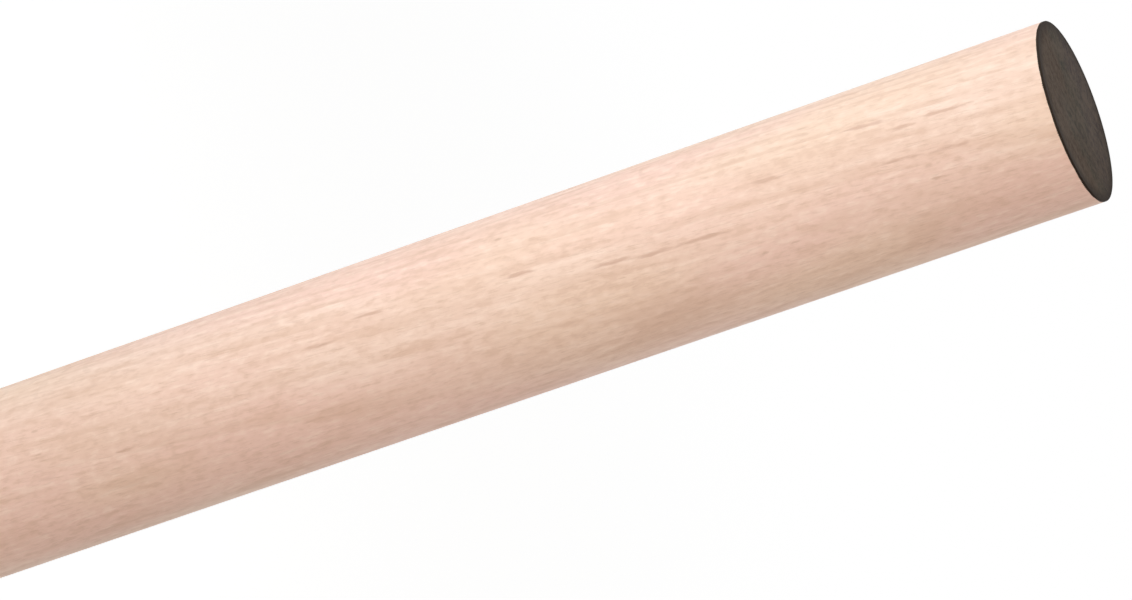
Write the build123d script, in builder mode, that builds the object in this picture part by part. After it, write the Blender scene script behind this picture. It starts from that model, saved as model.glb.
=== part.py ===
from build123d import *
import os

# A plain round hardwood dowel: one straight turned rod, sawn square at both ends, with a dark
# coat of colour-code paint on its upper end. It stands on its bare sawn end, along +Z.
# Millimetres, with the origin at the middle of the bare end.

# Rod
rod_diameter = 25.4  # the 1 inch size
rod_length = 304.8  # the 12 inch cut, of wood alone
arris_break = 0.2  # 45 degree bevel where the saw-cut edge has been rubbed off, at both ends

# Colour-code paint
paint_thickness = 0.12  # dry film on the sawn face
paint_edge_radius = 0.08  # the film rounds over at its rim

rod_radius = rod_diameter / 2
face_radius = rod_radius - arris_break  # the flat of each sawn end, inside its bevel


# One length of wood: the milled round, cut square, with both saw-cut edges broken.
with BuildPart() as dowel_rod:
    with BuildSketch(Plane.XY):
        Circle(rod_radius)
    extrude(amount=rod_length)
    saw_cut_edges = dowel_rod.edges().filter_by(GeomType.CIRCLE)
    chamfer(saw_cut_edges, length=arris_break)

dowel_rod.part.label = "dowel_rod"


# The paint lies on the upper sawn face, fills the bevel round it and ends flush with the
# side of the rod, so its section is a flat film with a small lip that points down.
with BuildPart() as end_paint:
    with BuildSketch(Plane.XZ):
        with BuildLine():
            Polyline(
                (0, rod_length),
                (face_radius, rod_length),
                (rod_radius, rod_length - arris_break),
                (rod_radius, rod_length + paint_thickness),
                (0, rod_length + paint_thickness),
                close=True,
            )
        make_face()
    revolve(axis=Axis.Z)
    outer_rim = end_paint.edges().filter_by(GeomType.CIRCLE).sort_by(Axis.Z)[-1]
    fillet(outer_rim, radius=paint_edge_radius)

end_paint.part.label = "end_paint"


os.makedirs("parts", exist_ok=True)
export_step(dowel_rod.part, "parts/dowel_rod.step")
export_step(end_paint.part, "parts/end_paint.step")
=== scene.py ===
import math
import random

import bpy
import numpy as np
from mathutils import Matrix, Vector, noise


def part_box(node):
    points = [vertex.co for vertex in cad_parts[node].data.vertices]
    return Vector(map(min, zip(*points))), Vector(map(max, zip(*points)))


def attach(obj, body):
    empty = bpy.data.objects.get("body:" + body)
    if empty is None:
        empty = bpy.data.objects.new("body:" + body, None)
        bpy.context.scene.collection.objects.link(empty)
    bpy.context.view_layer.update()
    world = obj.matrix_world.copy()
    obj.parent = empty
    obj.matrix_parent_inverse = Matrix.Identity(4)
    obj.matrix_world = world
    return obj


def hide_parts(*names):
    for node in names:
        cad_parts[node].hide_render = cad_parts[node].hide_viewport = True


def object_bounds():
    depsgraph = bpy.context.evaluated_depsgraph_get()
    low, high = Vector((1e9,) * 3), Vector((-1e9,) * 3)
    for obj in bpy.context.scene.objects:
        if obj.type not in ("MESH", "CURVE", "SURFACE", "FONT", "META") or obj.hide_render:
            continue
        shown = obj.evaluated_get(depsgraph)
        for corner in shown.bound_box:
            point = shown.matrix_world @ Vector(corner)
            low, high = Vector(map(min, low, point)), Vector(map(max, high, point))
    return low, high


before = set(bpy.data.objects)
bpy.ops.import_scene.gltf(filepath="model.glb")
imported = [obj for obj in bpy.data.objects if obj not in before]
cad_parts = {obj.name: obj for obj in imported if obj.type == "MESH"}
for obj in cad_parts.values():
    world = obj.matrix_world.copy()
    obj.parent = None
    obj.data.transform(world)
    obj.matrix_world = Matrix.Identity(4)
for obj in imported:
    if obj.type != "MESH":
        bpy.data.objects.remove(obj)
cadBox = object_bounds()

mm = 0.001
hair = 0.001 * mm  # slack for telling one row of points from the next

# Sizes that the pieces share, in metres, read from the pieces in model.glb
rodLow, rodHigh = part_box("dowel_rod")
filmLow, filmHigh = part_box("end_paint")
rodRadius = (rodHigh.x - rodLow.x) / 2
rodLength = rodHigh.z - rodLow.z
arrisBreak = rodHigh.z - filmLow.z  # the small bevel round each sawn end
faceRadius = rodRadius - arrisBreak  # of the flat inside it


# The tree that the rod was cut from
tree = {
    "pithAcross": 58 * mm,  # from the rod's axis to the middle of the trunk
    "pithBearing": 135.0,  # degrees from +X towards +Y
    "fibreLean": 3.5,  # degrees between the fibres and the rod's axis
    "leanBearing": -30.0,
    "ringWidths": (1.5 * mm, 3.0 * mm),  # thin and fat years
    "seed": 12,
    "wander": [
        # how far the rings stray from true circles, the size of the bends, and the noise's shift
        (0.5 * mm, (20 * mm, 14 * mm, 60 * mm), 3.1),
        (0.125 * mm, (6 * mm, 4 * mm, 22 * mm), 8.4),
    ],
    "lateRise": (0.35, 0.90),  # shares of the year over which late wood comes in
    "lateFall": (0.93, 1.00),  # and over which it breaks off
}


def softNoise(points, size, shift):
    # smooth noise from -1 to 1, one value for each point, with blotches of about that size
    offset = Vector((shift, shift * 0.37, shift * 0.71))
    return np.array([noise.noise(Vector(p) + offset) for p in points / np.asarray(size, float)])


def blotches(points, size, shift):
    # the same from 0 to 1
    return 0.5 + 0.5 * softNoise(points, size, shift)


def ease(value, low, high):
    # 0 up to low, 1 from high on, and a smooth rise between them
    part = np.clip((value - low) / (high - low), 0, 1)
    return part * part * (3 - 2 * part)


def treePlace(points):
    # rod metres -> (out from the pith, round it, along the fibres) in metres
    lean = math.radians(tree["fibreLean"])
    bearing = math.radians(tree["leanBearing"])
    pithTurn = math.radians(tree["pithBearing"])
    sideLean = math.sin(lean)
    fibre = np.array((sideLean * math.cos(bearing), sideLean * math.sin(bearing), math.cos(lean)))
    along = points @ fibre
    across = points - along[:, None] * fibre
    inward = np.array((math.cos(pithTurn), math.sin(pithTurn), 0.0))
    inward -= (inward @ fibre) * fibre
    inward /= np.linalg.norm(inward)
    sideways = np.cross(fibre, inward)
    fromPith = across - tree["pithAcross"] * inward
    out = -(fromPith @ inward)
    side = fromPith @ sideways
    radial = np.hypot(out, side)
    aroundPith = np.arctan2(side, out) * tree["pithAcross"]
    place = np.stack((radial, aroundPith, along), axis=1)
    for reach, size, shift in tree["wander"]:
        radial = radial + reach * softNoise(place, size, shift)
    return np.stack((radial, aroundPith, along), axis=1)


def ringEdges():
    # distance from the pith to the outside of each year's wood
    draw = random.Random(tree["seed"])
    edges = [tree["pithAcross"] - 2 * rodRadius]
    while edges[-1] < tree["pithAcross"] + 2 * rodRadius:
        edges.append(edges[-1] + draw.uniform(*tree["ringWidths"]))
    return np.array(edges)


def ringAge(place):
    # years of growth, counted from a ring between the pith and the rod: the fraction is how far
    # through the year
    edges = ringEdges()
    return np.interp(place[:, 0], edges, np.arange(len(edges)))


def lateWood(age):
    # 0 in the year's first wood, rising to 1 in its last, which ends at a crisp line
    part = age - np.floor(age)
    return ease(part, *tree["lateRise"]) * (1 - ease(part, *tree["lateFall"]))


sawMarks = {
    "patch": (9 * mm, 5.5),  # size of the deep and faint patches, and the noise's shift
    "stray": 0.6,  # how far a mark strays from its true curve, in pitches
    "fading": 0.4,  # share of its depth that comes and goes
}


def sawScore(points, saw):
    # height of the marks that a round blade leaves, from 0 to 1
    reach = np.hypot(points[:, 0] - saw["centre"][0], points[:, 1] - saw["centre"][1])
    uneven = softNoise(points, *sawMarks["patch"])
    wave = np.sin((reach / saw["pitch"] + sawMarks["stray"] * uneven) * 2 * math.pi)
    return 0.5 + 0.5 * wave * (1 - sawMarks["fading"] + sawMarks["fading"] * uneven)


mapSeam = 0.25  # share of a turn from +X to where each map starts, at the back


def turnedMesh(name, rows, zones, segments, shapeIt, unwrap):
    # A closed turned body. rows are (radius, height) from the middle of its lower face to the middle
    # of its upper face, and zones name the band of faces between each row and the next.
    rings = np.array(rows[1:-1], float)
    turns = np.arange(segments) / segments
    angle = (turns + mapSeam) * 2 * math.pi
    radius = np.repeat(rings[:, 0], segments)
    height = np.repeat(rings[:, 1], segments)
    around = np.tile(angle, len(rings))
    radius, height = shapeIt(radius, height, around)
    points = np.stack((radius * np.cos(around), radius * np.sin(around), height), axis=1)
    poles = np.array(((0, 0, height[:segments].mean()), (0, 0, height[-segments:].mean())))
    lowPole, highPole = len(points), len(points) + 1
    points = np.concatenate((points, poles))
    faces, corners = [], []  # a corner is its zone, its row and how many segments round it is
    for k in range(segments):
        n = (k + 1) % segments
        faces.append((lowPole, n, k))
        corners += [(zones[0], 0, k + 0.5), (zones[0], 1, k + 1), (zones[0], 1, k)]
    for r in range(len(rings) - 1):
        low, high = r * segments, (r + 1) * segments
        zone = zones[r + 1]
        for k in range(segments):
            n = (k + 1) % segments
            faces.append((low + k, low + n, high + n, high + k))
            corners += [(zone, r + 1, k), (zone, r + 1, k + 1)]
            corners += [(zone, r + 2, k + 1), (zone, r + 2, k)]
    top, last, zone = (len(rings) - 1) * segments, len(rows) - 1, zones[-1]
    for k in range(segments):
        n = (k + 1) % segments
        faces.append((highPole, top + k, top + n))
        corners += [(zone, last, k + 0.5), (zone, last - 1, k), (zone, last - 1, k + 1)]
    mesh = bpy.data.meshes.new(name)
    mesh.from_pydata(points.tolist(), [], faces)
    mesh.polygons.foreach_set("use_smooth", [True] * len(faces))
    bakeMap = mesh.uv_layers.new(name="OFBake")
    flat = [unwrap(zone, *rows[row], k / segments) for zone, row, k in corners]
    bakeMap.data.foreach_set("uv", np.array(flat, float).ravel())
    piece = bpy.data.objects.new(name, mesh)
    bpy.context.scene.collection.objects.link(piece)
    return piece


def discOnMap(middle, reach, radius, turn):
    # a round face laid flat on the map: reach is how far the rod's full radius comes there
    share = radius / rodRadius
    angle = turn * 2 * math.pi
    across, up = reach[0] * share * math.cos(angle), reach[1] * share * math.sin(angle)
    return middle[0] + across, middle[1] + up


def stripOnMap(strip, turn, up, whole):
    # a round side unrolled on the map: up is a height in metres, and whole is the side's
    left, bottom, width, height = strip
    return left + width * turn, bottom + height * up / whole


def markPoints(piece, name, values):
    # gives every point of the piece a number or a place of its own, for the materials to read
    kind, field = ("FLOAT_VECTOR", "vector") if values.ndim == 2 else ("FLOAT", "value")
    piece.data.attributes.new(name, kind, "POINT").data.foreach_set(field, values.ravel())


def markGrain(piece):
    points = np.zeros(len(piece.data.vertices) * 3)
    piece.data.vertices.foreach_get("co", points)
    place = treePlace(points.reshape(-1, 3))
    markPoints(piece, "treePlace", place)
    markPoints(piece, "ringAge", ringAge(place))
    return place


rod = {
    "segments": 300,
    "rowPitch": 1.2 * mm,  # along the side
    "edgeRows": (0.1 * mm, 0.4 * mm, 0.9 * mm),  # close rows hold the side flat next to its edges
    "footRows": 34,  # from the middle of the foot to its rim
    "headRows": (1.0, 0.6, 0.3, 0.0),  # under the paint, where nothing shows
    # the foot's broken edge, in shares of the bevel out and up
    "arris": [(0.0, 0.0), (0.10, 0.02), (0.45, 0.30), (0.70, 0.55), (0.98, 0.90), (1.0, 1.0)],
    "sideWithin": 0.01 * mm,  # points as near as this to the full radius belong to the side
    "endTilt": 0.9,  # faces whose normals have more height than this belong to a sawn end
    "ringRelief": 0.010 * mm,  # late wood stands this much proud of the rest
    "fibreRelief": 0.006 * mm,
    "fibre": ((0.6 * mm, 0.6 * mm, 9 * mm), 1.7),  # size of its blotches, and the noise's shift
    "calmReach": 1.5 * mm,  # the relief dies out over this, next to the rod's edges
    "arrisWear": 0.035 * mm,  # how unevenly the sharp edge of the foot was rubbed off
    "wear": (3 * mm, 9.2),
    "saw": {"centre": (-0.09, 0.11), "pitch": 1.1 * mm, "depth": 0.022 * mm},
    "pits": ((0.5 * mm, 0.5 * mm, 3 * mm), 4.4),
    "pitShare": 0.25,  # of the foot's roughness: the rest is the saw's marks
    "sideOnMap": (0.004, 0.004, 0.862, 0.992),  # left, bottom, width and height
    "footOnMap": ((0.936, 0.25), (0.056, 0.22)),  # middle and reach
    "headOnMap": ((0.936, 0.60), (0.056, 0.056)),
    "boldStreaks": [
        # height up the rod, degrees round it from +X, length and width
        (165 * mm, -84, 5 * mm, 0.7 * mm),
        (197 * mm, -106, 6 * mm, 0.7 * mm),
        (205 * mm, -115, 6 * mm, 0.7 * mm),
        (228 * mm, -107, 6 * mm, 0.9 * mm),
        (241 * mm, -95, 8 * mm, 0.8 * mm),
        (247 * mm, -92, 7 * mm, 0.8 * mm),
        (254 * mm, -91, 9 * mm, 0.9 * mm),
        (265 * mm, -112, 7 * mm, 0.9 * mm),
        (280 * mm, -125, 9 * mm, 0.8 * mm),
        (283 * mm, -97, 8 * mm, 0.7 * mm),
        (284 * mm, -116, 5 * mm, 0.7 * mm),
        (287 * mm, -79, 3 * mm, 0.7 * mm),
        (290 * mm, -94, 7 * mm, 0.7 * mm),
        (291 * mm, -117, 9 * mm, 0.8 * mm),
    ],
}


def boldStreaks(place):
    # how deep each point lies in a bold streak, from 0 at its skin to 1 in its core
    depth = np.zeros(len(place))
    for height, bearing, length, width in rod["boldStreaks"]:
        turn = math.radians(bearing)
        middle = np.array(((rodRadius * math.cos(turn), rodRadius * math.sin(turn), height),))
        away = (place - treePlace(middle)) / (width / 2, width / 2, length / 2)
        depth = np.maximum(depth, 1 - np.sum(away * away, axis=1))
    return depth


def rodOutline():
    # (radius, height) rows of the turned outline and the zone above each row
    rows = [(faceRadius * k / rod["footRows"], rodLow.z) for k in range(rod["footRows"])]
    zones = ["foot"] * len(rows)
    rows += [(faceRadius + arrisBreak * out, rodLow.z + arrisBreak * up) for out, up in rod["arris"]]
    first, last = rodLow.z + arrisBreak, rodHigh.z - arrisBreak
    *near, furthest = rod["edgeRows"]
    count = round((last - first - 2 * furthest) / rod["rowPitch"])
    heights = [first + n for n in near]
    heights += list(np.linspace(first + furthest, last - furthest, count + 1))
    heights += [last - n for n in reversed(near)] + [last]
    rows += [(rodRadius, height) for height in heights]
    zones += ["side"] * (len(rows) - len(zones))
    rows += [(faceRadius * share, rodHigh.z) for share in rod["headRows"]]
    zones += ["head"] * (len(rows) - len(zones))
    return rows, zones[:-1]


def shapeRod(radius, height, around):
    points = np.stack((radius * np.cos(around), radius * np.sin(around), height), axis=1)
    place = treePlace(points)
    onSide = radius > rodRadius - rod["sideWithin"]
    onFoot = (height < rodLow.z + hair) & (radius < faceRadius + hair)
    onArris = ~onSide & ~onFoot & (height < rodLow.z + arrisBreak)
    fromEdge = np.minimum(height - rodLow.z, rodHigh.z - arrisBreak - height)
    calm = np.clip(fromEdge / rod["calmReach"], 0, 1)
    early = 1 - lateWood(ringAge(place))
    dip = rod["ringRelief"] * early + rod["fibreRelief"] * blotches(place, *rod["fibre"])
    radius = np.where(onSide, radius - dip * calm, radius)
    wear = rod["arrisWear"] * blotches(points, *rod["wear"])
    radius = np.where(onArris, radius - wear, radius)
    height = np.where(onArris, height + wear, height)
    rough = (1 - rod["pitShare"]) * sawScore(points, rod["saw"])
    rough = rough + rod["pitShare"] * blotches(place, *rod["pits"])
    height = np.where(onFoot, height + rod["saw"]["depth"] * rough, height)
    return radius, height


def unwrapRod(zone, radius, height, turn):
    if zone == "side":
        return stripOnMap(rod["sideOnMap"], turn, height - rodLow.z, rodLength)
    return discOnMap(*rod[zone + "OnMap"], radius, turn)


def makeRod():
    rows, zones = rodOutline()
    piece = turnedMesh("dowelStick", rows, zones, rod["segments"], shapeRod, unwrapRod)
    place = markGrain(piece)
    markPoints(piece, "boldStreak", boldStreaks(place))
    print("rod:", len(piece.data.polygons), "faces,", len(ringEdges()), "rings of the tree drawn")
    return piece


film = {
    "segments": 240,
    "faceRows": 44,
    "sideRows": (0.0, 0.5, 1.0),  # shares of the straight part of the rim
    "underRows": (0.0, 0.5, 1.0),
    "edgeRadius": 0.08 * mm,
    "edgeTurns": (22.5, 45, 67.5, 90),  # degrees
    "grainRelief": 0.010 * mm,  # end grain that shows through the coat
    "peelRelief": 0.008 * mm,  # the coat's own unevenness
    "peel": (1.6 * mm, 6.6),  # size of its blotches, and the noise's shift
    "fullRim": 0.7 * mm,  # the coat is full at its rim, and thins over this
    "bleed": 0.10 * mm,  # how far it crept down the side in places
    "creep": (1.1 * mm, 2.2),
    "creepLimits": (-0.4, 1),
    "saw": {"centre": (-0.10, -0.09), "pitch": 0.95 * mm, "depth": 0.007 * mm},
    "rimOnMap": (0.01, 0.01, 0.86, 0.06),  # left, bottom, width and height
    "topOnMap": ((0.44, 0.54), (0.43, 0.43)),  # middle and reach
    "underOnMap": ((0.93, 0.05), (0.04, 0.04)),
}


def filmOutline():
    edge, top = film["edgeRadius"], filmHigh.z
    rows = [(faceRadius * share, rodHigh.z) for share in film["underRows"]]
    zones = ["under"] * len(rows)
    rows += [(rodRadius, filmLow.z + (top - edge - filmLow.z) * share) for share in film["sideRows"]]
    for degrees in film["edgeTurns"]:
        turn = math.radians(degrees)
        rows.append((rodRadius - edge + edge * math.cos(turn), top - edge + edge * math.sin(turn)))
    zones += ["rim"] * (len(rows) - len(zones) - 1)
    flat = rodRadius - edge
    rows += [(flat * (1 - k / film["faceRows"]), top) for k in range(1, film["faceRows"] + 1)]
    zones += ["top"] * (len(rows) - len(zones))
    return rows, zones[:-1]


def shapeFilm(radius, height, around):
    points = np.stack((radius * np.cos(around), radius * np.sin(around), height), axis=1)
    place = treePlace(points)
    onTop = height > filmHigh.z - hair
    onLip = (radius > rodRadius - hair) & (height < filmLow.z + hair)
    early = 1 - lateWood(ringAge(place))
    dip = film["grainRelief"] * early + film["peelRelief"] * blotches(points, *film["peel"])
    dip = dip + film["saw"]["depth"] * sawScore(points, film["saw"])
    thin = np.clip((rodRadius - radius) / film["fullRim"], 0, 1)
    height = np.where(onTop, height - dip * thin, height)
    creep = np.clip(softNoise(points, *film["creep"]), *film["creepLimits"])
    height = np.where(onLip, height - film["bleed"] * creep, height)
    return radius, height


def unwrapFilm(zone, radius, height, turn):
    if zone == "rim":
        return stripOnMap(film["rimOnMap"], turn, height - filmLow.z, filmHigh.z - filmLow.z)
    return discOnMap(*film[zone + "OnMap"], radius, turn)


def makeFilm():
    rows, zones = filmOutline()
    piece = turnedMesh("endPaintFilm", rows, zones, film["segments"], shapeFilm, unwrapFilm)
    markGrain(piece)
    print("paint film:", len(piece.data.polygons), "faces")
    return piece


def feed(nodes, socket, value):
    # links another node's output to the socket, or sets the socket's own value
    if isinstance(value, bpy.types.NodeSocket):
        nodes.id_data.links.new(value, socket)
    else:
        socket.default_value = value


def mathNode(nodes, operation, first, second=0.0):
    node = nodes.new("ShaderNodeMath")
    node.operation = operation
    feed(nodes, node.inputs[0], first)
    feed(nodes, node.inputs[1], second)
    return node.outputs[0]


def plus(nodes, first, second):
    return mathNode(nodes, "ADD", first, second)


def minus(nodes, first, second):
    return mathNode(nodes, "SUBTRACT", first, second)


def times(nodes, first, second):
    return mathNode(nodes, "MULTIPLY", first, second)


def vectorNode(nodes, operation, first, second=None):
    # gives a vector for MULTIPLY and a number for the others
    node = nodes.new("ShaderNodeVectorMath")
    node.operation = operation
    feed(nodes, node.inputs[0], first)
    if second is not None:
        feed(nodes, node.inputs[1], second)
    return node.outputs["Vector" if operation == "MULTIPLY" else "Value"]


def flatNode(nodes, where):
    # the same place with no height
    return vectorNode(nodes, "MULTIPLY", where, (1.0, 1.0, 0.0))


def attributeNode(nodes, name):
    node = nodes.new("ShaderNodeAttribute")
    node.attribute_name = name
    return node.outputs


def rangeNode(nodes, value, low, high, toLow=0.0, toHigh=1.0):
    # eases from toLow to toHigh as the value goes from low to high
    node = nodes.new("ShaderNodeMapRange")
    node.interpolation_type = "SMOOTHSTEP"
    for socket, number in zip(node.inputs[:5], (value, low, high, toLow, toHigh)):
        feed(nodes, socket, number)
    return node.outputs[0]


def noiseNode(nodes, place, perMetre, detail=2.0, roughness=0.5):
    # noise with that many blotches to the metre each way
    node = nodes.new("ShaderNodeTexNoise")
    feed(nodes, node.inputs["Vector"], vectorNode(nodes, "MULTIPLY", place, perMetre))
    node.inputs["Scale"].default_value = 1.0
    node.inputs["Detail"].default_value = detail
    node.inputs["Roughness"].default_value = roughness
    return node.outputs["Fac"]


def layerNode(nodes, place, levels, most=1.0, **layer):
    # a layer of noise as a mask: 0 at the first of its levels, and its most at the second
    return rangeNode(nodes, noiseNode(nodes, place, **layer), *levels, 0.0, most)


def cellNode(nodes, place, perMetre):
    # scattered grains, that many to the metre each way: distance from the nearest, and its own number
    node = nodes.new("ShaderNodeTexVoronoi")
    feed(nodes, node.inputs["Vector"], vectorNode(nodes, "MULTIPLY", place, perMetre))
    node.inputs["Scale"].default_value = 1.0
    own = nodes.new("ShaderNodeSeparateColor")
    feed(nodes, own.inputs[0], node.outputs["Color"])
    return node.outputs["Distance"], own.outputs[0]


def mixNode(nodes, amount, first, second, blend="MIX"):
    node = nodes.new("ShaderNodeMix")
    node.data_type = "RGBA"
    node.blend_type = blend
    feed(nodes, node.inputs["Factor"], amount)
    feed(nodes, node.inputs[6], first)
    feed(nodes, node.inputs[7], second)
    return node.outputs[2]


def newGroup(name, inputs, outputs):
    group = bpy.data.node_groups.new(name, "ShaderNodeTree")
    for label, kind, value in inputs:
        socket = group.interface.new_socket(label, in_out="INPUT", socket_type=kind)
        if value is not None:
            socket.default_value = value
    for label in outputs:
        group.interface.new_socket(label, in_out="OUTPUT", socket_type="NodeSocketFloat")
    start = group.nodes.new("NodeGroupInput")
    end = group.nodes.new("NodeGroupOutput")
    return group, start.outputs, end.inputs


def placeGroup(nodes, group, **values):
    # puts the group in a material with its own values, and gives its masks by name
    node = nodes.new("ShaderNodeGroup")
    node.node_tree = group
    for label, value in values.items():
        feed(nodes, node.inputs[label], value)
    return {socket.name: socket for socket in node.outputs}


nodeSpacing = (-240, -260)  # to the next column and the next row


def spreadNodes(nodes):
    # lays the nodes out in columns, by how many steps each is from the end
    steps = {node: 0 for node in nodes}
    for _ in nodes:
        for link in nodes.id_data.links:
            steps[link.from_node] = max(steps[link.from_node], steps[link.to_node] + 1)
    column = {}
    for node in nodes:
        step = steps[node]
        node.location = (nodeSpacing[0] * step, nodeSpacing[1] * column.get(step, 0))
        column[step] = column.get(step, 0) + 1


# What growth leaves in the wood. A layer of noise has its blotches to the metre, out from the pith,
# round it and along the fibres, and the levels of the noise at which its mask is 0 and 1.
growth = {
    "whole": {"perMetre": (350, 350, 60), "detail": 1.0, "levels": (0.40, 0.62)},  # late wood
    "fibres": {"perMetre": (3200, 3200, 170), "detail": 1.0, "levels": (0.30, 0.70)},
    "pores": {"perMetre": (5200, 5200, 420), "detail": 0.0, "levels": (0.66, 0.76)},
    "rays": {"perMetre": (260, 4800, 560), "detail": 0.0, "levels": (0.64, 0.74)},
    "flecks": {"perMetre": (1150, 1150, 560), "detail": 2.0},
    "lines": {"perMetre": (950, 950, 60), "detail": 1.0},
    "fleckShare": 0.80,  # short flecks and long lines add up to the streaks
    "lineShare": 0.60,
    "darkLevels": (0.70, 0.90),
    "paleLevels": (0.48, 0.69),
    "dashes": (400, 400, 75),  # scattered grains to the metre
    "dashReach": (0.12, 0.25),  # core and skin, in grain spacings
    "ragged": {"perMetre": (2400, 2400, 330), "detail": 1.0},
    "raggedShare": 0.16,  # how far the skin of a dash frays
    "specks": (360, 360, 130),
    "speckReach": (0.04, 0.10),
    "speckLuck": (0.70, 0.95),  # only the luckiest of them show
}


def makeGrainGroup():
    # what the growth of the tree leaves in the wood, each as a mask from 0 to 1
    inputs = [
        ("Place", "NodeSocketVector", None),
        ("Age", "NodeSocketFloat", 0.0),
        ("Broken", "NodeSocketFloat", 0.6),
    ]
    outputs = ["Late", "Streak", "Pale", "Dash", "Fibre", "Pore", "Ray", "Speck"]
    group, start, end = newGroup("grain", inputs, outputs)
    nodes = group.nodes
    place = start["Place"]
    part = mathNode(nodes, "FRACT", start["Age"])
    rise = rangeNode(nodes, part, *tree["lateRise"])
    fall = rangeNode(nodes, part, *tree["lateFall"], 1.0, 0.0)
    whole = layerNode(nodes, place, **growth["whole"])
    gaps = times(nodes, minus(nodes, 1.0, whole), start["Broken"])
    feed(nodes, end["Late"], times(nodes, times(nodes, rise, fall), minus(nodes, 1.0, gaps)))
    flecks = times(nodes, noiseNode(nodes, place, **growth["flecks"]), growth["fleckShare"])
    lines = times(nodes, noiseNode(nodes, place, **growth["lines"]), growth["lineShare"])
    streaks = plus(nodes, flecks, lines)
    feed(nodes, end["Streak"], rangeNode(nodes, streaks, *growth["darkLevels"]))
    feed(nodes, end["Pale"], rangeNode(nodes, streaks, *growth["paleLevels"], 1.0, 0.0))
    dash, strength = cellNode(nodes, place, growth["dashes"])
    ragged = times(nodes, noiseNode(nodes, place, **growth["ragged"]), growth["raggedShare"])
    dash = rangeNode(nodes, plus(nodes, dash, ragged), *growth["dashReach"], 1.0, 0.0)
    feed(nodes, end["Dash"], times(nodes, dash, strength))
    speck, luck = cellNode(nodes, place, growth["specks"])
    speck = rangeNode(nodes, speck, *growth["speckReach"], 1.0, 0.0)
    feed(nodes, end["Speck"], times(nodes, speck, rangeNode(nodes, luck, *growth["speckLuck"])))
    for label, layer in (("Fibre", "fibres"), ("Pore", "pores"), ("Ray", "rays")):
        feed(nodes, end[label], layerNode(nodes, place, **growth[layer]))
    spreadNodes(nodes)
    return group


sawMask = {
    "uneven": {"perMetre": (110, 110, 110), "detail": 1.0},
    "fading": (0.25, 0.65),  # levels of that noise at which the scores are gone and full
}


def makeSawGroup():
    # the faint curved scores of a round saw blade, as a mask from 0 to 1
    inputs = [
        ("Place", "NodeSocketVector", None),
        ("Centre", "NodeSocketVector", (0.0, 0.0, 0.0)),
        ("Pitch", "NodeSocketFloat", mm),
    ]
    group, start, end = newGroup("sawScores", inputs, ["Score"])
    nodes = group.nodes
    reach = vectorNode(nodes, "DISTANCE", flatNode(nodes, start["Place"]), start["Centre"])
    count = mathNode(nodes, "DIVIDE", reach, start["Pitch"])
    uneven = noiseNode(nodes, start["Place"], **sawMask["uneven"])
    turn = times(nodes, plus(nodes, count, uneven), 2 * math.pi)
    wave = rangeNode(nodes, mathNode(nodes, "SINE", turn), -1.0, 1.0)
    feed(nodes, end["Score"], times(nodes, wave, rangeNode(nodes, uneven, *sawMask["fading"])))
    spreadNodes(nodes)
    return group


handling = {
    "smudges": {"perMetre": (45, 45, 30), "detail": 2.0, "levels": (0.35, 0.68)},
    "scuffs": {"perMetre": (900, 900, 2600), "detail": 1.0, "levels": (0.62, 0.72)},
    "scuffed": {"perMetre": (120, 120, 120), "detail": 0.0, "levels": (0.55, 0.70)},  # where they are
}


def makeHandledGroup():
    # light marks of handling: broad smudges, and fine scuffs here and there
    inputs = [("Place", "NodeSocketVector", None)]
    group, start, end = newGroup("handled", inputs, ["Smudge", "Scuff"])
    nodes = group.nodes
    masks = {name: layerNode(nodes, start["Place"], **layer) for name, layer in handling.items()}
    feed(nodes, end["Smudge"], masks["smudges"])
    feed(nodes, end["Scuff"], times(nodes, masks["scuffs"], masks["scuffed"]))
    spreadNodes(nodes)
    return group


grainGroup = makeGrainGroup()
sawGroup = makeSawGroup()
handledGroup = makeHandledGroup()
print("node groups: grain, saw scores and handling")


def newMaterial(name):
    # a material, its nodes and shader, and three outputs: place in the tree, ring, place on the rod
    material = bpy.data.materials.new(name)
    material.use_nodes = True
    nodes = material.node_tree.nodes
    shader = nodes["Principled BSDF"]
    place = attributeNode(nodes, "treePlace")["Vector"]
    age = attributeNode(nodes, "ringAge")["Fac"]
    where = nodes.new("ShaderNodeTexCoord").outputs["Object"]
    return material, nodes, shader, place, age, where


def placeSaw(nodes, where, saw):
    centre = (*saw["centre"], 0.0)
    return placeGroup(nodes, sawGroup, Place=where, Centre=centre, Pitch=saw["pitch"])


def tintWith(nodes, colour, masks, finish):
    # lays the finish's tints over the colour, each at its strength where its mask is 1
    for mask, strength, tint in finish["tints"]:
        colour = mixNode(nodes, times(nodes, masks[mask], strength), colour, finish[tint])
    return colour


def reliefNode(nodes, masks, finish):
    # bump in which each mask sinks by its share of the finish's reliefDepth
    height = 0.0
    for mask, share in finish["hollows"].items():
        height = minus(nodes, height, times(nodes, masks[mask], share))
    node = nodes.new("ShaderNodeBump")
    node.inputs["Strength"].default_value = 1.0
    node.inputs["Distance"].default_value = finish["reliefDepth"]
    feed(nodes, node.inputs["Height"], height)
    return node.outputs["Normal"]


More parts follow.
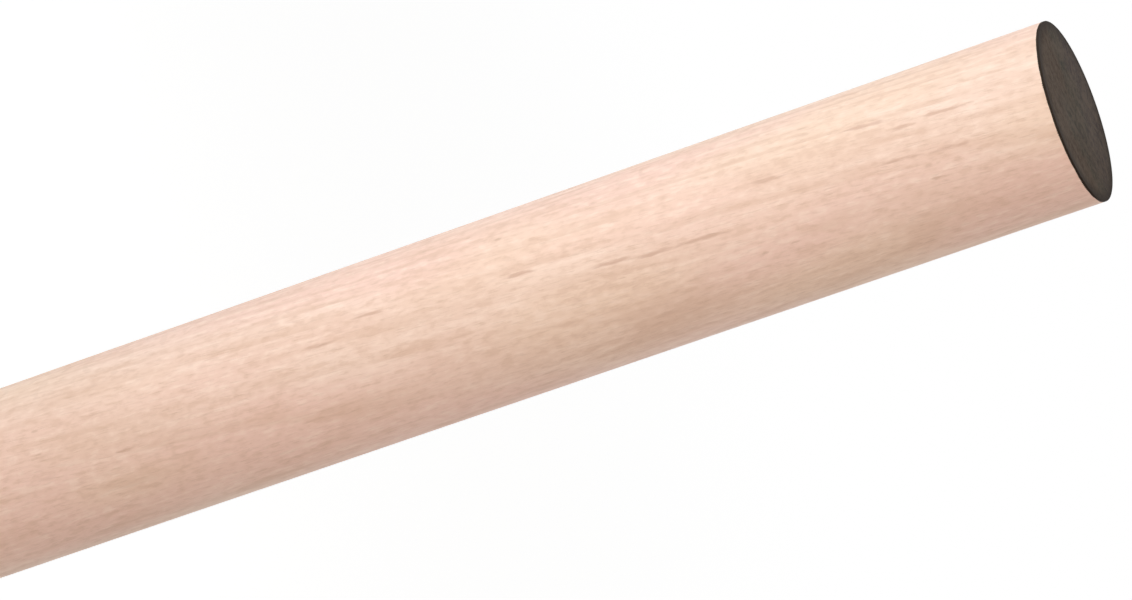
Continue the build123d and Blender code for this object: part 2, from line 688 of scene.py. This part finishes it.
wood = {
    "pale": (0.86, 0.64, 0.52, 1),
    "warm": (0.78, 0.55, 0.43, 1),
    "pink": (0.84, 0.565, 0.47, 1),
    "straw": (0.83, 0.605, 0.46, 1),
    "lateColour": (0.66, 0.43, 0.31, 1),
    "dashColour": (0.61, 0.39, 0.29, 1),
    "poreColour": (0.50, 0.31, 0.21, 1),
    "lightColour": (0.93, 0.725, 0.60, 1),
    "broken": 0.85,  # how far gaps break up the lines of late wood
    "warmPatches": {"perMetre": (145, 145, 42), "detail": 2.0, "levels": (0.32, 0.68)},
    "pinkPatches": {"perMetre": (78, 62, 18), "detail": 1.0, "levels": (0.42, 0.66), "most": 0.8},
    "strawPatches": {"perMetre": (62, 62, 21), "detail": 1.0, "levels": (0.50, 0.72), "most": 0.8},
    "ragged": {"perMetre": (2200, 2200, 480), "detail": 2.0},
    "raggedShare": 1.6,  # how far a bold streak frays
    "boldLevels": (0.85, 1.75),
    "tints": [
        # mask, strength and colour, from the first laid on to the last
        ("Pale", 0.46, "lightColour"),
        ("Fibre", 0.10, "lateColour"),
        ("Streak", 0.43, "lateColour"),
        ("Late", 0.40, "lateColour"),
        ("Dash", 0.46, "dashColour"),
        ("Ray", 0.12, "poreColour"),
        ("Pore", 0.13, "poreColour"),
        ("Speck", 0.45, "poreColour"),
        ("Bold", 0.86, "dashColour"),
    ],
    "footTint": (0.925, 0.915, 0.905, 1),  # painted shade: the colour is a little darker towards the foot, for light that falls off down the rod
    "footReach": (0.150, 0.215),  # from full painted shade to none, in metres along the fibres
    "roughness": (0.50, 0.66),
    "roughLevels": (0.4, 1.6),  # of fibre and smudges added up
    "specular": 0.5,
    "hollows": {"Pore": 1.0, "Scuff": 0.4, "Streak": 0.8, "Dash": 1.0, "Bold": 1.0, "Fibre": -0.35},
    "reliefDepth": 0.018 * mm,
}


def makeSideWood():
    material, nodes, shader, place, age, where = newMaterial("bareHardwood")
    masks = placeGroup(nodes, grainGroup, Place=place, Age=age, Broken=wood["broken"])
    masks |= placeGroup(nodes, handledGroup, Place=where)
    ragged = times(nodes, noiseNode(nodes, place, **wood["ragged"]), wood["raggedShare"])
    bold = plus(nodes, attributeNode(nodes, "boldStreak")["Fac"], ragged)
    masks["Bold"] = rangeNode(nodes, bold, *wood["boldLevels"])
    warm = layerNode(nodes, place, **wood["warmPatches"])
    pink = layerNode(nodes, place, **wood["pinkPatches"])
    straw = layerNode(nodes, where, **wood["strawPatches"])
    colour = mixNode(nodes, warm, wood["pale"], wood["warm"])
    colour = mixNode(nodes, pink, colour, wood["pink"])
    colour = mixNode(nodes, straw, colour, wood["straw"])
    colour = tintWith(nodes, colour, masks, wood)
    upRod = nodes.new("ShaderNodeSeparateXYZ")
    feed(nodes, upRod.inputs[0], place)
    # painted shade: darker towards the foot, standing in for the light falling off away from the
    # lamps
    paintedFootShade = rangeNode(nodes, upRod.outputs["Z"], *wood["footReach"], 1.0, 0.0)
    colour = mixNode(nodes, paintedFootShade, colour, wood["footTint"], "MULTIPLY")
    worn = plus(nodes, masks["Fibre"], masks["Smudge"])
    rough = rangeNode(nodes, worn, *wood["roughLevels"], *wood["roughness"])
    feed(nodes, shader.inputs["Base Color"], colour)
    feed(nodes, shader.inputs["Roughness"], rough)
    feed(nodes, shader.inputs["Normal"], reliefNode(nodes, masks, wood))
    shader.inputs["Specular IOR Level"].default_value = wood["specular"]
    spreadNodes(nodes)
    return material


sawn = {
    "base": (0.72, 0.50, 0.36, 1),
    "lateColour": (0.52, 0.33, 0.22, 1),
    "poreColour": (0.36, 0.21, 0.14, 1),
    "rayColour": (0.80, 0.60, 0.46, 1),
    "broken": 0.2,
    "tints": [
        ("Late", 0.6, "lateColour"),
        ("Ray", 0.5, "rayColour"),
        ("Pore", 0.7, "poreColour"),
        ("Score", 0.12, "lateColour"),
    ],
    "roughness": (0.68, 0.85),
    "specular": 0.3,
    "hollows": {"Score": -0.4, "Pore": 1.0},
    "reliefDepth": 0.03 * mm,
}


def makeSawnWood():
    material, nodes, shader, place, age, where = newMaterial("sawnHardwood")
    masks = placeGroup(nodes, grainGroup, Place=place, Age=age, Broken=sawn["broken"])
    masks |= placeSaw(nodes, where, rod["saw"])
    rough = rangeNode(nodes, masks["Fibre"], 0.0, 1.0, *sawn["roughness"])
    feed(nodes, shader.inputs["Base Color"], tintWith(nodes, sawn["base"], masks, sawn))
    feed(nodes, shader.inputs["Roughness"], rough)
    feed(nodes, shader.inputs["Normal"], reliefNode(nodes, masks, sawn))
    shader.inputs["Specular IOR Level"].default_value = sawn["specular"]
    spreadNodes(nodes)
    return material


paint = {
    "brown": (0.041, 0.0235, 0.013, 1),
    "green": (0.029, 0.0262, 0.0175, 1),
    "violet": (0.033, 0.0228, 0.0215, 1),
    "thin": (0.106, 0.0765, 0.056, 1),  # where the wood drinks the coat
    "thick": (0.022, 0.015, 0.011, 1),  # where it gathers round the rim
    "hueClouds": {"perMetre": (95, 95, 95), "detail": 2.0},
    "drift": (10.0, 34.0, 0.0),  # slope of the turn from brown to violet, in shares to the metre
    "greenLevels": (0.30, 0.52),
    "violetLevels": (0.52, 0.78),
    "broken": 0.4,
    "tints": [("Pore", 0.30, "thin"), ("Late", 0.32, "thin"), ("Score", 0.16, "thin")],
    "thinClouds": {
        "perMetre": (420, 420, 420),
        "detail": 3.0,
        "roughness": 0.7,
        "levels": (0.32, 0.72),
        "most": 0.60,
    },
    "thinSpecks": {
        "perMetre": (1700, 1700, 1700),
        "detail": 2.0,
        "roughness": 0.6,
        "levels": (0.40, 0.64),
        "most": 0.50,
    },
    "rim": 2.3 * mm,  # how far in from the side it gathers
    "gathered": 0.90,
    "roughness": (0.62, 0.82),
    "roughLevels": (0.0, 1.2),  # of pores and a share of the smudges
    "smudgeShare": 0.7,
    "specular": 0.05,
    "peel": {"perMetre": (1400, 1400, 1400), "detail": 2.0},
    "hollows": {"Peel": -0.6, "Pore": 1.0},
    "reliefDepth": 0.015 * mm,
}


def makePaint():
    material, nodes, shader, place, age, where = newMaterial("colourCodePaint")
    masks = placeGroup(nodes, grainGroup, Place=place, Age=age, Broken=paint["broken"])
    masks |= placeSaw(nodes, where, film["saw"])
    masks |= placeGroup(nodes, handledGroup, Place=where)
    masks["Peel"] = noiseNode(nodes, where, **paint["peel"])
    drift = vectorNode(nodes, "DOT_PRODUCT", where, paint["drift"])
    cloud = plus(nodes, noiseNode(nodes, where, **paint["hueClouds"]), drift)
    greener = rangeNode(nodes, cloud, *paint["greenLevels"])
    redder = rangeNode(nodes, cloud, *paint["violetLevels"])
    colour = mixNode(nodes, greener, paint["brown"], paint["green"])
    colour = mixNode(nodes, redder, colour, paint["violet"])
    colour = tintWith(nodes, colour, masks, paint)
    for layer in ("thinClouds", "thinSpecks"):
        colour = mixNode(nodes, layerNode(nodes, where, **paint[layer]), colour, paint["thin"])
    fromAxis = vectorNode(nodes, "LENGTH", flatNode(nodes, where))
    gathered = rangeNode(nodes, fromAxis, rodRadius - paint["rim"], rodRadius, 0.0, paint["gathered"])
    colour = mixNode(nodes, gathered, colour, paint["thick"])
    dull = plus(nodes, times(nodes, masks["Smudge"], paint["smudgeShare"]), masks["Pore"])
    rough = rangeNode(nodes, dull, *paint["roughLevels"], *paint["roughness"])
    feed(nodes, shader.inputs["Base Color"], colour)
    feed(nodes, shader.inputs["Roughness"], rough)
    feed(nodes, shader.inputs["Normal"], reliefNode(nodes, masks, paint))
    shader.inputs["Specular IOR Level"].default_value = paint["specular"]
    spreadNodes(nodes)
    return material


stick = makeRod()
stick.data.materials.append(makeSideWood())
stick.data.materials.append(makeSawnWood())
for face in stick.data.polygons:
    face.material_index = 1 if abs(face.normal.z) > rod["endTilt"] else 0
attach(stick, "root")
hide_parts("dowel_rod")

coat = makeFilm()
coat.data.materials.append(makePaint())
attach(coat, "root")
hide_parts("end_paint")
print("materials: side wood, sawn wood and colour-code paint")


studio = {
    "floorSize": 24.0,
    "floorColour": (0.80, 0.79, 0.78, 1),
    "floorRoughness": 0.9,
    "floorGlow": 0.48,  # white added to the floor near the rod, as it is seen
    "floorFade": (0.35, 0.90),  # metres from the rod over which the floor turns to plain white
    "skyStrength": 0.28,  # light from all round
    "skyColour": (1.0, 0.985, 0.97, 1),
    "aim": 0.95,  # where on the rod the lamps point, as a share of its height
}

lamps = [
    # name, degrees round from +X, degrees up, metres away, metres across, watts, colour
    ("keySoftbox", 198, 22, 0.85, 0.9, 7.15, (0.85, 0.94, 1.0)),
    ("frontSoftbox", 262, 16, 1.0, 0.9, 4.1, (1.0, 0.95, 0.91)),
    ("fillSoftbox", 318, 14, 1.0, 0.9, 1.9, (1.0, 0.84, 0.735)),
    ("backSoftbox", 58, 12, 1.2, 0.9, 3.0, (1.0, 1.0, 1.0)),
]


def seenDirectly(nodes):
    # 1 for rays that show the background: straight, mirrored or through glass
    path = nodes.new("ShaderNodeLightPath").outputs
    seen = plus(nodes, path["Is Camera Ray"], path["Is Glossy Ray"])
    seen = plus(nodes, seen, path["Is Transmission Ray"])
    return mathNode(nodes, "MINIMUM", seen, 1.0)


def mixShaders(nodes, amount, first, second):
    node = nodes.new("ShaderNodeMixShader")
    for socket, value in zip(node.inputs, (amount, first, second)):
        feed(nodes, socket, value)
    return node.outputs[0]


def makeFloor():
    half, level = studio["floorSize"] / 2, cadBox[0].z
    corners = [(-half, -half, level), (half, -half, level), (half, half, level), (-half, half, level)]
    mesh = bpy.data.meshes.new("studioFloor")
    mesh.from_pydata(corners, [], [(0, 1, 2, 3)])
    floor = bpy.data.objects.new("studioFloor", mesh)
    bpy.context.scene.collection.objects.link(floor)
    material = bpy.data.materials.new("floorPaper")
    material.use_nodes = True
    nodes = material.node_tree.nodes
    shader = nodes["Principled BSDF"]
    shader.inputs["Base Color"].default_value = studio["floorColour"]
    shader.inputs["Roughness"].default_value = studio["floorRoughness"]
    shader.inputs["Specular IOR Level"].default_value = 0.0
    seen = seenDirectly(nodes)
    glow = nodes.new("ShaderNodeEmission")
    feed(nodes, glow.inputs["Strength"], times(nodes, seen, studio["floorGlow"]))
    near = nodes.new("ShaderNodeAddShader")
    feed(nodes, near.inputs[0], shader.outputs[0])
    feed(nodes, near.inputs[1], glow.outputs[0])
    white = nodes.new("ShaderNodeEmission")
    distance = vectorNode(nodes, "LENGTH", nodes.new("ShaderNodeTexCoord").outputs["Object"])
    faded = times(nodes, seen, rangeNode(nodes, distance, *studio["floorFade"]))
    paper = mixShaders(nodes, faded, near.outputs[0], white.outputs[0])
    feed(nodes, nodes["Material Output"].inputs["Surface"], paper)
    spreadNodes(nodes)
    mesh.materials.append(material)


def makeSky():
    world = bpy.data.worlds.new("studioSky")
    world.use_nodes = True
    bpy.context.scene.world = world
    nodes = world.node_tree.nodes
    lighting = nodes["Background"]
    lighting.inputs["Color"].default_value = studio["skyColour"]
    lighting.inputs["Strength"].default_value = studio["skyStrength"]
    white = nodes.new("ShaderNodeBackground")
    white.inputs["Color"].default_value = (1, 1, 1, 1)
    sky = mixShaders(nodes, seenDirectly(nodes), lighting.outputs[0], white.outputs[0])
    feed(nodes, nodes["World Output"].inputs["Surface"], sky)
    spreadNodes(nodes)


def makeLamps():
    aim = Vector((0, 0, cadBox[1].z * studio["aim"]))
    for name, bearing, up, away, across, watts, colour in lamps:
        turn, rise = math.radians(bearing), math.radians(up)
        level = math.cos(rise)
        direction = Vector((math.cos(turn) * level, math.sin(turn) * level, math.sin(rise)))
        light = bpy.data.lights.new(name, "AREA")
        light.shape = "SQUARE"
        light.size = across
        light.energy = watts
        light.color = colour
        lamp = bpy.data.objects.new(name, light)
        lamp.location = aim + direction * away
        lamp.rotation_euler = direction.to_track_quat("Z", "Y").to_euler()
        bpy.context.scene.collection.objects.link(lamp)


view = {
    "lens": 198.45,
    "sensor": 36.0,
    "nearest": 0.01,  # metres
    "lookDown": 18.13,  # degrees
    "roll": 70.94,  # degrees, so that the standing rod lies across the frame
    "distance": 32.72,  # from the painted end, in rod diameters, along the line of sight
    "endRight": 2.673,  # the painted end's place in the frame, in rod diameters from the middle
    "endUp": 0.991,
}


def makeCamera():
    lens = bpy.data.cameras.new("camera")
    lens.lens = view["lens"]
    lens.sensor_width = view["sensor"]
    lens.clip_start = view["nearest"]
    camera = bpy.data.objects.new("camera", lens)
    tip = Matrix.Rotation(math.radians(90 - view["lookDown"]), 4, "X")
    turned = tip @ Matrix.Rotation(math.radians(view["roll"]), 4, "Z")
    low, high = cadBox
    painted = Vector(((low.x + high.x) / 2, (low.y + high.y) / 2, high.z))
    toEnd = Vector((view["endRight"], view["endUp"], -view["distance"])) * (2 * rodRadius)
    camera.matrix_world = Matrix.Translation(painted - turned.to_3x3() @ toEnd) @ turned
    bpy.context.scene.collection.objects.link(camera)
    bpy.context.scene.camera = camera


makeFloor()
makeSky()
makeLamps()
makeCamera()
bpy.context.scene.view_settings.view_transform = "Standard"
print("studio: floor, sky,", len(lamps), "lamps and the camera")

bpy.context.view_layer.update()
